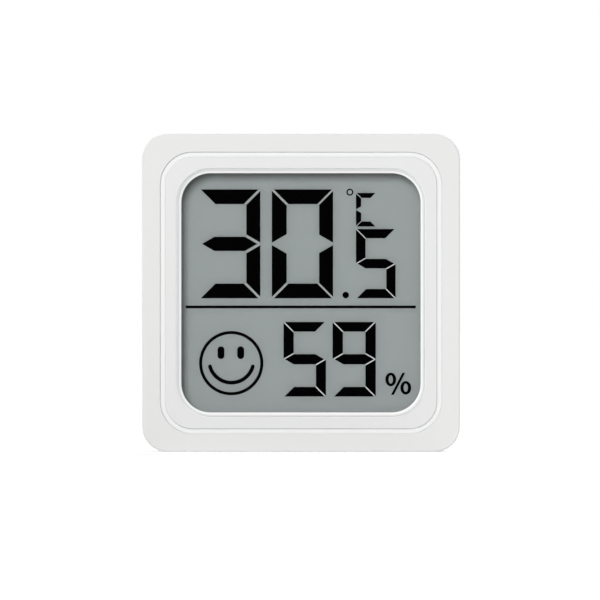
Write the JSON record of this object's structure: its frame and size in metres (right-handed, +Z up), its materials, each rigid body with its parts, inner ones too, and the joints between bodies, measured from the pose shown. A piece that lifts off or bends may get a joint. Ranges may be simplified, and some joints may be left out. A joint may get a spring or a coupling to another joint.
{
  "type": "temperature and humidity sensor with display",
  "caption": "Small square room thermometer and humidity gauge with a segment display, twist-off battery door and fold-out stand.",
  "frame": {"origin": "middle of the underside, on the surface that the case stands on", "axes": "+Z up, the display looks along -Y, +X to the right of someone who reads it"},
  "size_m": [0.043, 0.0126, 0.043],
  "materials": {
    "white_abs": "moulded ABS, fine matt texture",
    "bezel_abs": "moulded ABS, satin",
    "door_abs": "moulded ABS, fine matt texture",
    "stand_abs": "moulded ABS, fine matt texture",
    "button_abs": "moulded ABS, satin",
    "gasket_foam": "black adhesive foam",
    "polariser_film": "clear film with an anti-glare face",
    "display_glass": "clear soda-lime glass",
    "seal_resin": "cured resin bead",
    "reflector_film": "grey reflecting film",
    "carrier_abs": "moulded ABS, natural",
    "strip_rubber": "pink silicone with carbon layers",
    "board_laminate": "glass-epoxy laminate with green solder mask",
    "chip_resin": "black moulding resin",
    "can_metal": "nickel plated can",
    "capacitor_ceramic": "fired ceramic with tinned ends",
    "sensor_resin": "black moulding resin",
    "contact_metal": "nickel plated spring bronze",
    "cell_steel": "nickel plated steel, brushed",
    "switch_resin": "black moulded nylon",
    "plunger_resin": "black moulded nylon",
    "screw_steel": "zinc plated steel"
  },
  "bodies": {
    "case": {"front_housing": "white_abs", "screen_bezel": "bezel_abs", "display_gasket": "gasket_foam", "front_polariser": "polariser_film", "front_glass": "display_glass", "glass_seal": "seal_resin", "rear_glass": "display_glass", "rear_reflector": "reflector_film", "display_carrier": "carrier_abs", "contact_strip": "strip_rubber", "circuit_board": "board_laminate", "controller_chip": "chip_resin", "timing_crystal": "can_metal", "chip_capacitors": "capacitor_ceramic", "humidity_sensor": "sensor_resin", "negative_contact": "contact_metal", "positive_contact": "contact_metal", "coin_cell": "cell_steel", "tact_switch": "switch_resin", "back_cover": "white_abs", "case_screws": "screw_steel", "board_screws": "screw_steel"},
    "battery_door": {"battery_door": "door_abs"},
    "stand": {"stand": "stand_abs"},
    "unit_button": {"unit_button": "button_abs", "switch_plunger": "plunger_resin"}
  },
  "joints": [
    {"name": "door_turn", "type": "hinge", "parent": "case", "child": "battery_door", "pos_m": [0, 0.005, 0.0276], "axis": [0, 1, 0], "range_deg": [0, 35]},
    {"name": "stand_fold", "type": "hinge", "parent": "case", "child": "stand", "pos_m": [0, 0.0055, 0.0033], "axis": [-1, 0, 0], "range_deg": [0, 90]},
    {"name": "button_press", "type": "slide", "parent": "case", "child": "unit_button", "axis": [0, -1, 0], "range_m": [0, 0.0003], "stiffness_N_per_m": 1200}
  ]
}
